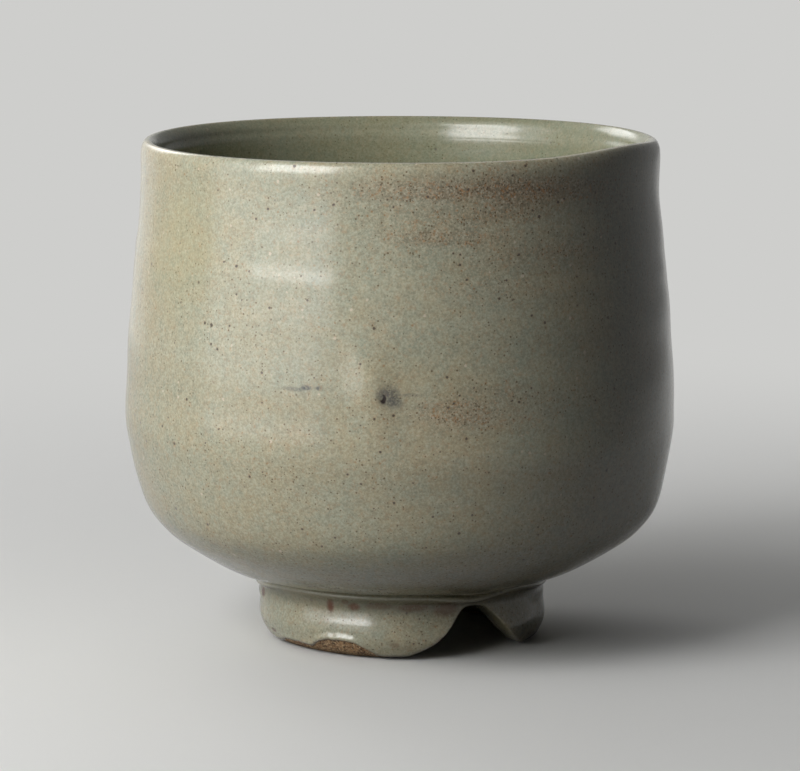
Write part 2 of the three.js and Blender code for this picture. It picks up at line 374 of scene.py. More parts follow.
def rounded(rows, passes):
    """Rounds the corners of each column by averaging each place with its two neighbours, many times over."""
    for _ in range(passes):
        rows[1:-1] = (rows[:-2] + 2 * rows[1:-1] + rows[2:]) / 4
    return rows


print("mesh helpers ready")

# %% [markdown]
# ## The outside coat
#
# The glaze was poured over the outside and runs over the lip. Its face carries what the fingers left: a low
# ridge under the neck, very soft bands, a thin ledge over the foot, and a small fold on the front with a
# pinhole beside its crest. They could be sculpted or faked with bump. A formula for each one gives real
# geometry, which shows in the outline and its shadows too, and is easy to move.

# %% Sizes of the outside coat's relief
SOFTNESS = 0.035  # how far the soft waves stand out
RIDGES = (  # height, how far it stands out, its width, and how far it drifts up and down in one turn
    (81.0, 0.15, 2.3, 2.5),
    (90.0, 0.02, 3.2, 0.8),
    (75.2, -0.05, 3.0, 0.0),
    (50.5, 0.05, 3.0, 1.0),
)
FOLD_TURN, FOLD_HEIGHT = math.radians(-5.4), 60
FOLD_RISE, FOLD_WIDTH, FOLD_REACH = 0.75, math.radians(3.8), 9
FOLD_SLANT = math.radians(0.12)  # how far the fold leans to the left in each millimetre of height
VALLEY_DEPTH, VALLEY_REACH = 0.1, 11  # the hollow to the left of the fold
PINHOLE_TURN, PINHOLE_HEIGHT = math.radians(-3.4), 59.2
PINHOLE_DEPTH, PINHOLE_WIDTH, PINHOLE_REACH = 0.4, 0.014, 0.9  # the width is in radians
LEDGE_TURN, LEDGE_HEIGHT = -15, 17.4  # a thin ledge low on the front left, over the foot, in degrees
LEDGE_RISE, LEDGE_HOLLOW, LEDGE_WIDTH = 0.34, 0.16, 0.3
LEDGE_FALL = 0.067  # how far it comes down in each degree
SHOULDER_DEPTH = 0.14  # how far the coat draws in under the lip
INNER_ROLL, INNER_ROLL_HEIGHT = 0.7, 102.5  # how far the wall swells just inside the lip, and where
INNER_ROLL_BELOW, INNER_ROLL_ABOVE = 2.6, 1.8  # how far the swelling reaches down and up
print(len(RIDGES), "ridges, the highest at", max(ridge[0] for ridge in RIDGES), "mm")


# %% The outside coat's relief
def ridges_and_waves(turn, height):
    """Soft waves, and a bell in height for each ridge, whose line drifts with a sine of the turn."""
    relief = SOFTNESS * undulation(turn, height, 26, 60, seed=11)
    strength = 0.7 + 0.3 * np.cos(turn + 0.35)
    for place, rise, width, drift in RIDGES:
        line = place + drift * np.sin(turn + 0.12 * place)
        relief = relief + rise * strength * bell(height, line, width)
    return relief


def fold_and_pinhole(turn, height):
    """A leaning bell for the fold, a shallow hollow to its left, and a small pit for the pinhole."""
    crest = FOLD_TURN - FOLD_SLANT * (height - FOLD_HEIGHT)
    fold = bell(turn, crest, FOLD_WIDTH) * bell(height, FOLD_HEIGHT, FOLD_REACH)
    valley = bell(turn, crest - 2 * FOLD_WIDTH, FOLD_WIDTH) * bell(height, FOLD_HEIGHT, VALLEY_REACH)
    pit = bell(turn, PINHOLE_TURN, PINHOLE_WIDTH) * bell(height, PINHOLE_HEIGHT, PINHOLE_REACH)
    return FOLD_RISE * fold - VALLEY_DEPTH * valley - PINHOLE_DEPTH * pit


def ledge_over_foot(turn, height):
    """A thin bell in height over a hollow one, on a line that falls to the right and fades at its ends."""
    degrees = np.degrees(turn)
    shown = smoothstep(degrees, -34, -26) * (1 - smoothstep(degrees, -6, 0))
    line = LEDGE_HEIGHT - LEDGE_FALL * (degrees - LEDGE_TURN)
    hollow = LEDGE_HOLLOW * bell(height, line - 2 * LEDGE_WIDTH, LEDGE_WIDTH)
    return (LEDGE_RISE * bell(height, line, LEDGE_WIDTH) - hollow) * shown


def wall_relief(turn, height):
    """How far the outside stands out. All but the ledge fades out at the underside and the lip."""
    soft = ridges_and_waves(turn, height) + fold_and_pinhole(turn, height)
    faded = smoothstep(height, 17, 30) * (1 - smoothstep(height, 102.5, 104.6))
    shoulder = SHOULDER_DEPTH * smoothstep(height, 101, 104)
    return soft * faded + ledge_over_foot(turn, height) - shoulder


def inner_roll(height):
    """A soft roll just inside the lip: a bell in height that is wider below its crest than above it."""
    reach = np.where(height < INNER_ROLL_HEIGHT, INNER_ROLL_BELOW, INNER_ROLL_ABOVE)
    return INNER_ROLL * bell(height, INNER_ROLL_HEIGHT, reach)


# %% Build the outside coat
WALL_ROWS, LIP_ROWS, EDGE_ROWS, BACK_ROWS = 240, 22, 14, 34
ROWS_OVER_FOOT, LENGTH_OVER_FOOT = 0.28, 0.13  # shares of the rows and of the profile
SUNK, EDGE_TAPER = 0.03, 2.2  # how far a coat dips where the other one meets it, and how gradually
inside = inside_profile(400)
coat_edge = BOWL_HEIGHT - LIP_RISE - OVERLAP_DEPTH
over_lip = even(inside[inside[:, 1] > coat_edge], EDGE_ROWS)
taper = 1 - smoothstep(over_lip[:, 1], coat_edge, coat_edge + EDGE_TAPER)
over_lip = over_lip + SUNK * taper[:, None] * (moved_in(over_lip, 1) - over_lip)
crowded = np.interp(np.linspace(0, 1, WALL_ROWS), (0, ROWS_OVER_FOOT, 1), (0, LENGTH_OVER_FOOT, 1))
wall_line = outside_profile(2000)[np.rint(1999 * crowded).astype(int)]
face = np.vstack([wall_line, lip_profile(LIP_ROWS)[1:], over_lip[1:]])
face_height = face[:, 1:] * np.ones(TURNS)
outwards = face - moved_in(face, 1)
on_outside = (np.arange(len(face)) < WALL_ROWS + LIP_ROWS // 2)[:, None]
relief = wall_relief(turn[None, :], face_height) * on_outside
rolled = inner_roll(face_height) * ~on_outside
front_radius = face[:, :1] + outwards[:, :1] * relief - rolled
front = hand_thrown(front_radius, face_height + outwards[:, 1:] * relief, turn[None, :])
back_line = even(moved_in(face, COAT)[2:-1], BACK_ROWS)[::-1]
back = hand_thrown(back_line[:, :1], back_line[:, 1:], turn[None, :])
outer_coat = closed_piece("outer_coat", np.concatenate([front, back]))
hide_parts("outer_glaze")

# %% [markdown]
# ## The liner coat
#
# Inside, the coat was poured first. It runs a little way up under the outside coat's edge, so that only a
# faint step shows under the lip, and it pools over the hip and the floor. One bowl-shaped surface would do
# for a picture. A closed skin with a back of its own is what the real coat is, and it has no open edge at
# the lip.


# %% Build the liner coat
def liner_relief(turn, height):
    """Rings that rise gently round the wall, as cosine waves in height, and soft undulation under the lip."""
    rings = 0.03 * np.cos(2 * math.pi * height / 13 + turn)
    wall = smoothstep(height, 22, 40) * (1 - smoothstep(height, 80, 96))
    return (rings + 0.05 * undulation(turn, height, 18, 50, seed=4)) * wall


LINER_ROWS, LINER_BACK_ROWS = 120, 40
LINER_HIDDEN = 2.4  # how far the liner runs up under the outside coat
LINER_POOLED = 0.4  # how much thicker the coat is over the floor and the hip
POOLED_FROM, POOLED_TO = 46, 60  # heights over which that fades out
liner_line = inside[inside[:, 1] < coat_edge + LINER_HIDDEN]
liner_face = even(liner_line, LINER_ROWS)[:-1]
sunk = SUNK * smoothstep(liner_face[:, 1], coat_edge + 0.2, coat_edge + LINER_HIDDEN)
pooled_depth = LINER_POOLED * (1 - smoothstep(liner_face[:, 1], POOLED_FROM, POOLED_TO))
liner_face = liner_face + (sunk - pooled_depth)[:, None] * (moved_in(liner_face, 1) - liner_face)
liner_back = even(moved_in(liner_line, COAT), LINER_BACK_ROWS)[:-1][::-1]
liner_height = liner_face[:, 1:] * np.ones(TURNS)
liner_radius = liner_face[:, :1] - liner_relief(turn[None, :], liner_height) - inner_roll(liner_height)
liner_front = hand_thrown(liner_radius, liner_height, turn[None, :])
liner_behind = hand_thrown(liner_back[:, :1], liner_back[:, 1:], turn[None, :])
floor_pole = (0, 0, FLOOR_HEIGHT - POOL_DEPTH + LINER_POOLED)
back_pole = (0, 0, FLOOR_HEIGHT - POOL_DEPTH - COAT)
liner_coat = closed_piece("liner_coat", np.concatenate([liner_behind, liner_front]), (back_pole, floor_pole))
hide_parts("liner_glaze")

# %% [markdown]
# ## The split foot
#
# The foot ring was thrown, luted under the bowl, and cut right across while it was leather-hard. A boolean
# would cut it too, but would leave a sharp, uneven edge. Here each turn has its own section instead, which
# runs down the outside to the cut, inwards under the ring, up the wall of the hollow and over its ceiling,
# and is then rounded. The cut is a bell-shaped tunnel, so its roof at any radius follows from the distance
# to the line of the cut.

# %% The foot's section
# For each place, how far in it is, in waists or bevels, and how far under or over the collar, in bevels
WAIST_LINE = ((0.4, 5.2), (1.0, 3.8), (1.35, 2.5), (1.25, 1.3), (0.7, 0.7))
COLLAR_LINE = ((0.15, 0.0), (0.15, 0.4), (0.5, 0.9), (1.3, 1.2), (2.4, 1.25))


def notch_roof(radius, turn):
    """Height of the cut's roof: exp of minus a power of the distance from its line, on each side of it."""
    across = np.clip(radius * np.sin(turn - NOTCH_TURN), -NOTCH_REACH, NOTCH_REACH)
    width = np.where(across > 0, NOTCH_RIGHT_WIDTH, NOTCH_LEFT_WIDTH)
    power = np.where(across > 0, NOTCH_RIGHT_POWER, NOTCH_LEFT_POWER)
    near, far = (np.hypot(d, NOTCH_ROUND) - NOTCH_ROUND for d in (across, NOTCH_REACH))
    return NOTCH_HEIGHT * (np.exp(-((near / width) ** power)) - np.exp(-((far / width) ** power)))


def foot_profile():
    """The foot's outside: a cubic bulge, then a Catmull-Rom curve through the waist and the collar."""
    t = np.linspace(0, 1, 40)[:, None]
    a = np.array((FOOT_BOTTOM_RADIUS, 0))
    b = np.array((FOOT_BOTTOM_RADIUS + FOOT_HEEL, 0.4))
    c = np.array((FOOT_RADIUS, FOOT_HEEL))
    d = np.array((FOOT_RADIUS, COLLAR_HEIGHT * 0.42))
    bulge = (1 - t) ** 3 * a + 3 * (1 - t) ** 2 * t * b + 3 * (1 - t) * t**2 * c + t**3 * d
    upper = [d]
    for inset, depth in WAIST_LINE:
        upper.append((FOOT_RADIUS - FOOT_WAIST * inset, COLLAR_HEIGHT - depth * COLLAR_BEVEL))
    for inset, rise in COLLAR_LINE:
        upper.append((COLLAR_RADIUS - COLLAR_BEVEL * inset, COLLAR_HEIGHT + rise * COLLAR_BEVEL))
    return np.vstack([bulge, through(upper, 90)[1:]])


foot_line = foot_profile()
foot_along = np.concatenate([[0], np.cumsum(np.hypot(*np.diff(foot_line, axis=0).T))])
cut_along = np.zeros(FOOT_TURNS)
for _ in range(12):  # the roof depends on the radius, which depends on the roof, so a few rounds settle both
    cut_radius = np.interp(cut_along, foot_along, foot_line[:, 0])
    cut_height = notch_roof(cut_radius, foot_turn)
    cut_along = np.interp(cut_height, foot_line[:, 1], foot_along)
print("the cut is", round(float(cut_height.max()), 2), "mm high on the outside")

# %% Places of the foot's surface
OUTSIDE_ROWS, UNDER_ROWS, WELL_ROWS, CEILING_ROWS = 84, 26, 18, 14
ROUNDING_PASSES = 22
down = np.linspace(0, 1, OUTSIDE_ROWS)[:, None]
outside_along = foot_along[-1] - (foot_along[-1] - cut_along) * down
outside_radius = np.interp(outside_along, foot_along, foot_line[:, 0])
outside_height = np.interp(outside_along, foot_along, foot_line[:, 1])
inwards = np.linspace(0, 1, UNDER_ROWS + 1)[1:, None]
under_radius = between(cut_radius, WELL_MOUTH_RADIUS, inwards)
under_height = notch_roof(under_radius, foot_turn)
upwards = np.linspace(0, 1, WELL_ROWS + 1)[1:, None]
well_height = between(under_height[-1], WELL_HEIGHT, upwards)
well_radius = between(WELL_MOUTH_RADIUS, WELL_RADIUS, well_height / WELL_HEIGHT)
ceiling_radius = WELL_RADIUS * np.linspace(1, 0, CEILING_ROWS + 1)[1:-1, None] * np.ones(FOOT_TURNS)
ceiling_height = np.full(ceiling_radius.shape, WELL_HEIGHT)
section_radius = np.vstack([outside_radius, under_radius, well_radius, ceiling_radius])
section_height = np.vstack([outside_height, under_height, well_height, ceiling_height])
section = np.stack([section_radius, section_height], axis=-1)
below_collar = OUTSIDE_ROWS // 2
section[below_collar:] = rounded(section[below_collar:].copy(), ROUNDING_PASSES)
section = section[::-1]
foot_surface = hand_thrown(section[..., 0], section[..., 1], foot_turn[None, :])
foot_normal = grid_normals(foot_surface)
print("foot surface", foot_surface.shape)

# %% [markdown]
# ## Where the glaze stops
#
# A potter wipes the foot's edge clean, or it would stick to the kiln shelf. The glaze ends a little above
# the table in a rolled bead, higher at one patch on the front left, where granular brown clay shows. The
# line between them could be painted, but glaze has thickness: clay and coat are two skins whose distance
# grows above the line.

# %% Sizes of the glaze's edge
BARE_EDGE = 0.4  # how far above the table the glaze ends
PATCH_RISE, LEFT_RISE = 3.3, 1.5  # how much higher it ends at the bare patch and to the left of it
BEAD, BEAD_ON_PATCH = 0.22, 1.8  # how far the rolled edge stands out, and how much more on the patch
CLAY_INSET = 0.04  # how far the clay lies inside the foot's surface
GRIT = 0.05  # how far the bare clay's sand stands out
COAT_DIP = 0.3  # how far the coat lies inside the clay where the clay is bare
COAT_BACK = 0.35  # and how far its back does
print("the glaze ends", BARE_EDGE, "mm above the table, and", PATCH_RISE, "mm higher at the patch")


# %% The foot's glaze
def glaze_line(turn):
    """Height where the glaze ends: a low wavering line with one raised patch on the front left."""
    degrees = np.degrees(turn)
    patch = smoothstep(degrees, -46, -30) * (1 - smoothstep(degrees, -21, -7))
    left = smoothstep(degrees, -64, -56) * (1 - smoothstep(degrees, -46, -38))
    waver = 0.08 * np.cos(5 * turn + 0.6) + 0.09 * np.cos(13 * turn + 2) + 0.08 * np.cos(29 * turn)
    ragged = 0.08 * np.cos(61 * turn + 1) + 0.06 * np.cos(97 * turn)
    return BARE_EDGE + PATCH_RISE * patch + LEFT_RISE * left + waver + ragged * (0.4 + 0.2 * patch)


above = foot_surface[..., 2] - glaze_line(foot_turn[None, :])
on_patch = bell(np.degrees(foot_turn), -26, 14)[None, :]
glazed = smoothstep(above, -0.1, 1.2)
sand = undulation(foot_turn[None, :] * 9, foot_surface[..., 2], 40, 3, seed=7)
grit = GRIT * sand * (1 - glazed)
clay_surface = foot_surface - foot_normal * (COAT * glazed + CLAY_INSET + grit)[..., None]
rise = smoothstep(above, -0.15, 0.3)
bead = BEAD * (1 + BEAD_ON_PATCH * on_patch) * bell(above, 0.8, 0.62)
thickness = (COAT * glazed + CLAY_INSET) * rise + bead * rise - COAT_DIP * (1 - rise)
coat_surface = clay_surface + foot_normal * thickness[..., None]
coat_back = (clay_surface - foot_normal * COAT_BACK)[::-3]
foot_poles = [(0, 0, WELL_HEIGHT), (0, 0, WELL_HEIGHT + 0.9)]
foot_coat = closed_piece("foot_coat", np.concatenate([coat_surface, coat_back]), foot_poles)
painted(foot_coat, "thin", bell(above, 0.0, 0.55))
# A band under the collar's roll: partly glaze pooled in the waist, partly painted shade under the overhang
painted(foot_coat, "pooled_and_shaded", bell(section[..., 1], COLLAR_HEIGHT - 1.4 * COLLAR_BEVEL, 1.5))
# The collar's roll: partly glaze thinning over the edge, partly painted light on its upward face
painted(foot_coat, "stretched_and_lit", bell(section[..., 1], COLLAR_HEIGHT + 0.3 * COLLAR_BEVEL, 0.6))
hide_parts("foot_glaze")

# %% The clay ring
CLAY_TOP_ROWS = 24  # rows of the collar that stay in the glaze alone
clay_ring = closed_piece("clay_ring", clay_surface[CEILING_ROWS + 2 : -CLAY_TOP_ROWS])
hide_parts("foot_ring")

# %% [markdown]
# ## Shader maths as expressions
#
# A pattern is easier to read as arithmetic than as a web of nodes. The class below wraps a socket, so that
# adding, multiplying or subtracting two of them makes the Math node and gives back its result.


# %% A wire
class Wire:
    """One output socket that takes part in Python expressions. Each operator adds a Math node."""

    def __init__(self, nodes, socket):
        self.nodes = nodes
        self.socket = socket

    def math(self, operation, *values):
        return self.nodes.node("ShaderNodeMath", {"operation": operation}, dict(enumerate(values)))

    def __add__(self, other):
        return self.math("ADD", self, other)

    def __sub__(self, other):
        return self.math("SUBTRACT", self, other)

    def __rsub__(self, other):
        return self.math("SUBTRACT", other, self)

    def __mul__(self, other):
        return self.math("MULTIPLY", self, other)

    __radd__ = __add__
    __rmul__ = __mul__

    def step(self, low, high, start=0.0, end=1.0):
        """From start at low to end at high, smooth between them, where low may be the greater."""
        settings = {"interpolation_type": "SMOOTHSTEP"}
        values = {"Value": self, "From Min": low, "From Max": high, "To Min": start, "To Max": end}
        return self.nodes.node("ShaderNodeMapRange", settings, values)

    def other(self, output):
        """Another output of the same node."""
        return Wire(self.nodes, self.socket.node.outputs[output])


# %% A tree of nodes
class Nodes:
    """The nodes of a material or a lamp, added one at a time."""

    def __init__(self, tree):
        self.tree = tree

    def node(self, kind, settings=None, values=None, output=0):
        """Adds a node: its settings first, then each socket's number, colour or link. Gives one output."""
        made = self.tree.nodes.new(kind)
        for name, value in (settings or {}).items():
            setattr(made, name, value)
        for name, value in (values or {}).items():
            self.put(made.inputs[name], value)
        return Wire(self, made.outputs[output])

    def put(self, socket, value):
        if isinstance(value, Wire):
            self.tree.links.new(value.socket, socket)
        elif isinstance(value, tuple) and len(value) == 3 and socket.type == "RGBA":
            socket.default_value = (*value, 1)
        else:
            socket.default_value = value


# %% A recipe
class Recipe(Nodes):
    """One material. Its patterns read the place on the piece, in millimetres."""

    def __init__(self, name):
        self.material = bpy.data.materials.new(name)
        self.material.use_nodes = True
        super().__init__(self.material.node_tree)
        self.shader = self.tree.nodes["Principled BSDF"]
        where = self.node("ShaderNodeTexCoord", output="Object")
        self.place = self.vector("SCALE", where, Scale=1 / METRES)

    def surface(self, **inputs):
        """Sets inputs of the Principled shader, whose names are written with _ for a space."""
        for name, value in inputs.items():
            self.put(self.shader.inputs[name.replace("_", " ")], value)

    def vector(self, operation, *values, **named):
        output = "Value" if operation in ("LENGTH", "DOT_PRODUCT") else "Vector"
        sockets = {**dict(enumerate(values)), **named}
        return self.node("ShaderNodeVectorMath", {"operation": operation}, sockets, output)

    def noise(self, scale, detail=3, stretch=(1, 1, 1), rough=0.55):
        """Noise between 0 and 1, with scale in waves a millimetre, squeezed by stretch along each axis."""
        place = self.vector("MULTIPLY", self.place, stretch)
        values = {"Vector": place, "Scale": scale, "Detail": detail, "Roughness": rough}
        return self.node("ShaderNodeTexNoise", {}, values)

    def attribute(self, name):
        """The number that is kept under this name at each vertex."""
        return self.node("ShaderNodeAttribute", {"attribute_name": name}, {}, "Fac")

    def bump(self, height, strength, distance):
        values = {"Strength": strength, "Distance": distance, "Height": height}
        return self.node("ShaderNodeBump", {}, values)

    def mix(self, share, first, second):
        """A colour from first to second as share goes from 0 to 1."""
        return self.node("ShaderNodeMix", {"data_type": "RGBA"}, {0: share, 6: first, 7: second}, 2)

    def layers(self, colour, layers):
        """Each layer's colour over the ones before it, as its share says."""
        for share, over in layers:
            colour = self.mix(share, colour, over)
        return colour

    def blot(self, centre, size, wander=0.0, edge=0.5):
        """1 at a place on the piece, and 0 past an ellipsoid of that size; noise makes its edge wander."""
        offset = self.vector("SUBTRACT", self.place, centre)
        distance = self.vector("LENGTH", self.vector("DIVIDE", offset, size))
        if wander:
            distance = distance + (self.noise(0.12, 4) - 0.5) * wander
        return distance.step(1 + edge / 2, 1 - edge)

    def specks(self, cell, share, size, ragged=0.3):
        """Specks at a Voronoi pattern's points, and a stain round each one.

        Each cell has a random number, and its speck shows where share is more.
        """
        values = {"Vector": self.place, "Scale": 1.6 / size, "Detail": 1}
        wobble = self.node("ShaderNodeTexNoise", {}, values, "Color")
        wobble = self.vector("SUBTRACT", wobble, (0.5, 0.5, 0.5))
        shaken = self.vector("SCALE", wobble, Scale=ragged * size * 2)
        values = {"Vector": self.vector("ADD", self.place, shaken), "Scale": 1 / cell}
        distance = self.node("ShaderNodeTexVoronoi", {}, values, "Distance")
        chance = self.node("ShaderNodeSeparateColor", {}, {0: distance.other("Color")})
        grown = chance.other(1) * (0.5 * size / cell) + 0.5 * size / cell
        shown = (share - chance).step(0, 0.02)
        speck = (grown - distance).step(0, 0.3 * size / cell) * shown
        stain = (grown * 1.7 - distance).step(0, size / cell) * shown
        return speck, stain


def linear(red, green, blue):
    """A colour written as 0 to 255 on a screen, as the shader's linear numbers."""
    shares = (c / 255 for c in (red, green, blue))
    return tuple(c / 12.92 if c <= 0.04045 else ((c + 0.055) / 1.055) ** 2.4 for c in shares)


print("middle grey is", round(linear(128, 128, 128)[0], 3), "in linear numbers")

# %% [markdown]
# ## Celadon
#
# Celadon is a clear glaze tinted grey-green by a little iron, thick enough to soften the clay's colour
# under it. Seen close, it is a fine salt and pepper of grey-green, tan and brown grains. Iron in the clay
# bleeds through as dark and rust-coloured specks, thick in some places and rare in others. Where the kiln's
# air was less smoky the glaze blushes brown, in bands that follow the throwing rings. A clear coat over
# coloured clay would be truer to its chemistry, but a satin surface with all the colours mixed in it gives
# the same look and bakes to an image.

# %% The celadon's colours
GREEN_GREY = linear(160, 165, 146)
KHAKI = linear(169, 158, 127)
PALE = linear(186, 182, 160)
DEEP_GREEN = linear(128, 136, 116)
TAN_GRAIN = linear(206, 186, 156)
BROWN_GRAIN = linear(104, 84, 58)
LIGHT_GRAIN = linear(196, 192, 170)
DARK_GRAIN = linear(116, 114, 96)
BLUSH = linear(130, 101, 74)
EMBER = linear(172, 126, 84)
STRAW = linear(164, 157, 110)
IRON = linear(50, 36, 22)
OLIVE = linear(88, 68, 38)
RUST = linear(146, 98, 46)
BARK = linear(98, 58, 28)
# POOLED_AND_SHADED: dark olive for glaze pooled under the collar, darkened further as painted shade
POOLED_AND_SHADED = linear(92, 88, 64)
THIN_EDGE = linear(134, 100, 66)
PALE_SPECK = linear(224, 206, 184)
# SMUDGE_AND_SHADE: grey for stains, and for painted shade beside the pinhole
SMUDGE_AND_SHADE = linear(78, 78, 78)
# PINHOLE_SHADE: near black, painted shade inside the pinhole
PINHOLE_SHADE = linear(34, 22, 16)
# INSIDE_TINT_AND_SHADE: a greener glaze inside the bowl, darkened further as painted shade
INSIDE_TINT_AND_SHADE = linear(106, 115, 88)
GLAZE_IOR = 1.58
print("the glaze is between", [round(c, 2) for c in GREEN_GREY], "and", [round(c, 2) for c in KHAKI])


# %% The parts of the celadon
def clouded_ground(recipe, mottle):
    """Grey-green and khaki in clouds, with paler and deeper bands round the bowl."""
    cloud = recipe.noise(0.03, 4)
    bands = recipe.noise(0.05, 4, (0.3, 0.3, 1.8))
    ground = recipe.mix((cloud + mottle * 0.8).step(0.5, 1.3), GREEN_GREY, KHAKI)
    return recipe.layers(
        ground,
        (
            (mottle.step(0.52, 0.25) * 0.3, DEEP_GREEN),
            (bands.step(0.5, 0.75) * 0.15, PALE),
            (bands.step(0.5, 0.25) * 0.2, DEEP_GREEN),
        ),
    )


def kiln_blush(recipe, blushes):
    """How strongly the glaze blushes: the sum of its blots, broken by streaks along the throwing rings."""
    if not blushes:
        return 0
    blush = 0
    for centre, size, strength in blushes:
        blush = recipe.blot(centre, size, 0.9, 0.9) * strength + blush
    streaks = recipe.noise(0.08, 5, (0.4, 0.4, 2.4), 0.65)
    return blush * (streaks.step(0.38, 0.62) * 0.6 + 0.4)


def grains(recipe, colour, grain, blush):
    """Salt and pepper: tan, brown, light, dark and rust-coloured grains, stronger where the glaze blushes."""
    coarse = recipe.noise(0.9, 2, rough=0.7)
    tint = recipe.noise(0.6, 3, rough=0.7)
    ember = recipe.noise(1.1, 3, (1.05, 0.95, 1), 0.75)
    return recipe.layers(
        colour,
        (
            (coarse.step(0.5, 0.7) * 0.25, TAN_GRAIN),
            (coarse.step(0.5, 0.3) * (blush * 0.4 + 0.2), BROWN_GRAIN),
            (grain.step(0.5, 0.66) * (blush * 0.3 + 0.4), LIGHT_GRAIN),
            (grain.step(0.5, 0.34) * (blush * 0.6 + 0.38), DARK_GRAIN),
            (tint.step(0.5, 0.72) * 0.12, RUST),
            (ember.step(0.54, 0.66) * (blush * 0.7 + 0.24), EMBER),
        ),
    )


def celadon(name, blushes=(), freckles=0.0):
    """The glaze: a clouded ground under blushes, fine grain and clustered specks of iron."""
    recipe = Recipe(name)
    mottle = recipe.noise(0.22, 4, rough=0.65)
    grain = recipe.noise(2.1, 2, rough=0.7)
    blush = kiln_blush(recipe, blushes)
    colour = recipe.mix(blush * 0.6, clouded_ground(recipe, mottle), BLUSH)
    colour = grains(recipe, colour, grain, blush)
    cluster = recipe.noise(0.11, 3).step(0.35, 0.75)
    fine, _ = recipe.specks(0.62, cluster * 0.3 + blush * 0.9 + (0.07 + freckles), 0.25)
    medium, stain = recipe.specks(1.3, cluster * 0.17 + blush * 0.3 + 0.03, 0.38)
    rusty, _ = recipe.specks(0.8, cluster * 0.1 + blush * 0.9 + (0.02 + freckles), 0.3, 0.7)
    light, _ = recipe.specks(1.6, 0.08, 0.45, 0.4)
    specks = (light * 0.5, PALE_SPECK), (stain * 0.28, RUST), (rusty * 0.5, RUST), (fine * 0.75, OLIVE)
    colour = recipe.layers(colour, (*specks, (medium * 0.9, IRON)))
    height = grain * 0.3 + recipe.noise(0.16, 2) * 1.2 - medium * 0.4
    recipe.surface(Normal=recipe.bump(height, 1.0, 0.00005), Roughness=0.14 + 0.08 * mottle + medium * 0.2)
    recipe.surface(IOR=GLAZE_IOR)
    return recipe, colour


print("celadon ready")

# %% The outside glaze
WALL_BLUSHES = (  # centre, reach along each axis, strength
    ((24, -48, 94), (32, 20, 13), 0.3),
    ((22, -48, 99.2), (34, 18, 3.2), 0.8),
    ((18, -51, 94.6), (18, 12, 2.0), 0.7),
    ((8, -54, 90.3), (13, 9, 1.8), 0.8),
    ((33, -44, 87.5), (14, 12, 2.2), 0.35),
    ((20, -51, 80), (15, 10, 1.7), 0.4),
    ((11, -56, 56.0), (7, 10, 2.6), 0.9),
    ((19, -53, 56.5), (15, 14, 4.5), 0.4),
    ((-34, 42, 88), (34, 22, 9), 0.6),
    ((36, 38, 60), (24, 22, 6), 0.5),
)
# Grey marks: the dash on the left is a stain; those by the pinhole are a stain together with painted shade
# beside its pit
SMUDGES_AND_SHADE = (  # centre, reach along each axis, strength
    ((-20.9, -54, 60.4), (2.3, 4, 0.5), 0.6),
    ((-18.4, -54, 60.8), (1.1, 3, 0.55), 1.0),
    ((-16.1, -54, 60.8), (0.6, 3, 0.45), 0.85),
    ((-2.3, -57, 59.6), (2.6, 4, 2.3), 0.8),
    ((-0.9, -57, 58.3), (1.6, 3, 1.2), 0.6),
    ((2, -57, 59.8), (2.4, 3, 0.4), 0.5),
)
wall, colour = celadon("outer_celadon", blushes=WALL_BLUSHES)
straw = wall.blot((-44, -30, 86), (14, 14, 16), 0.9, 0.9)
colour = wall.mix(straw * 0.24, colour, STRAW)
smudge_grain = wall.noise(2.3, 2, rough=0.6).step(0.38, 0.6) * 0.5 + 0.5
for centre, size, strength in SMUDGES_AND_SHADE:
    colour = wall.mix(wall.blot(centre, size, 0.7, 0.6) * smudge_grain * strength, colour, SMUDGE_AND_SHADE)
# The pinhole is painted near black as painted shade inside its pit; the bite takes a piece from its upper
# left
bite = wall.blot((-3.85, -57, 59.5), (0.55, 3, 0.75), 0.2, 0.3)
pinhole = wall.blot((-3.3, -57, 59.05), (0.7, 3, 1.05), 0.3, 0.3) * (1 - bite)
# The inside of this coat, near the lip, takes half of the inside colour: a greener glaze and painted shade
# inside the bowl
mouth = wall.vector("LENGTH", wall.vector("MULTIPLY", wall.place, (1, 1, 0)))
within = mouth.step(MOUTH_RADIUS - 1.2, MOUTH_RADIUS - 2.6)
near_lip = wall.vector("DOT_PRODUCT", wall.place, (0, 0, 1)).step(85, 90)
wall.surface(Base_Color=wall.layers(colour, ((pinhole, PINHOLE_SHADE), (within * near_lip * 0.5, INSIDE_TINT_AND_SHADE))))
outer_coat.data.materials.append(wall.material)
print(len(WALL_BLUSHES), "blushes and", len(SMUDGES_AND_SHADE), "smudges on the outside")

# %% The liner and the foot's glaze
FOOT_RUST = (  # centre, reach along each axis, strength
    ((-28.9, -7.9, 10.2), (0.6, 2, 1.2), 1.0),
    ((-22.3, -19.4, 10.7), (0.7, 1.5, 0.7), 0.7),
    ((-14.4, -25.9, 10.7), (0.9, 2, 1.7), 1.0),
    ((-9.6, -28.2, 11.1), (1.5, 2, 0.9), 0.9),
    ((-11.3, -27.3, 12.1), (0.8, 2, 0.6), 0.5),
    ((-4.1, -29.2, 11.6), (3, 3, 0.9), 0.45),
    ((3.1, -29.5, 11.2), (4, 3, 1.1), 0.6),
    ((9.2, -28.3, 10.6), (3, 3, 1.6), 0.6),
    ((-26.5, -12.2, 3.0), (0.7, 1.2, 0.5), 0.9),
    ((-28.3, -9.3, 4.1), (0.5, 1, 0.4), 0.7),
    ((-1, -29.2, 3.6), (1.2, 2, 0.8), 0.45),
)
liner, colour = celadon("liner_celadon")
pool = liner.blot((0, 0, FLOOR_HEIGHT), (26, 26, 6), 0.3, 0.9)
